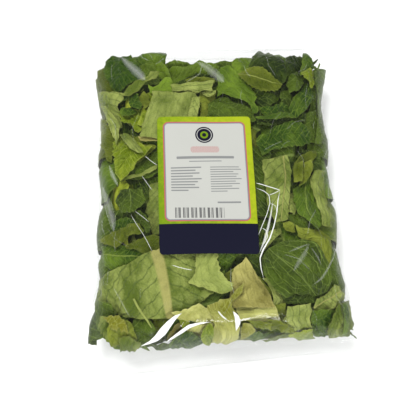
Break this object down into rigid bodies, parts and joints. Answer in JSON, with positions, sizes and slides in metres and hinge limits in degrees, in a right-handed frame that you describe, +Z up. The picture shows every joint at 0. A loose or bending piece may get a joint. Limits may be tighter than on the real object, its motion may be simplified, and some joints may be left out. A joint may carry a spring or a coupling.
{
  "type": "sealed clear film bag of cut escarole leaves",
  "caption": "Sealed pillow bag of clear film packed with cut escarole leaves, with a plain printed label on its front; it lies on its back.",
  "frame": {"origin": "on the table under the middle of the bag's box, with the bag lying on its back", "axes": "+Z up out of the bag's front, where the label is; +Y along the bag to its top seal; +X to the right as the label is read"},
  "size_m": [0.3122, 0.3958, 0.0867],
  "materials": {
    "film": "clear, glossy, creased film",
    "label": "printed satin paper with a green border and a navy band",
    "dark": "dark green leaf, satin",
    "green": "mid green leaf, satin",
    "olive": "olive green leaf, satin",
    "lime": "yellow-green frilled leaf, satin",
    "pale": "pale grey-green leaf with dark veins, satin",
    "cream": "cream and pale yellow blanched leaf, satin",
    "tan": "tan rib piece, satin"
  },
  "bodies": {
    "root": {"film_bag": "film", "label": "label", "leaf_mass": "dark", "leaf_ragged_lime": "lime", "leaf_round_leaf": "dark", "leaf_veined_corner": "pale", "leaf_frill_corner": "lime", "leaf_cream_fold": "cream", "leaf_rib_leaf": "pale", "leaf_beige_wedge": "tan", "leaf_grey_tall": "pale", "leaf_big_pale": "pale", "leaf_olive_leaf": "olive", "leaf_mid_leaf": "green", "leaf_pale_strip": "pale", "leaf_left_pale": "pale", "leaf_dark_band": "green", "leaf_pale_fold": "pale", "leaf_left_lime": "lime", "leaf_green_corner": "green", "leaf_dark_round": "dark", "leaf_bottom_strip": "cream", "leaf_frill_heart": "lime", "leaf_top_pale": "pale", "leaf_corner_dark": "dark", "leaf_left_top_dark": "dark", "leaf_top_dark": "dark", "leaf_right_blade": "green", "leaf_mid_rib": "green", "leaf_left_green": "green", "leaf_dark_over_label": "dark", "leaf_dark_shelf": "dark", "leaf_top_shadow": "dark", "leaf_left_dark": "dark", "leaf_left_mid": "green", "leaf_lime_fold": "cream", "leaf_edge_right": "dark", "leaf_under_label_left": "green", "leaf_under_label_right": "dark", "leaf_back_01": "dark", "leaf_back_02": "green", "leaf_back_03": "dark", "leaf_back_04": "pale", "leaf_back_05": "green", "leaf_back_06": "olive", "leaf_back_07": "dark", "leaf_back_08": "cream", "leaf_back_09": "green", "leaf_back_10": "lime", "leaf_back_11": "dark", "leaf_back_12": "green", "leaf_back_13": "dark", "leaf_back_14": "pale", "leaf_back_15": "green", "leaf_back_16": "olive", "leaf_back_17": "dark", "leaf_back_18": "cream", "leaf_back_19": "green", "leaf_back_20": "lime"}
  },
  "joints": []
}
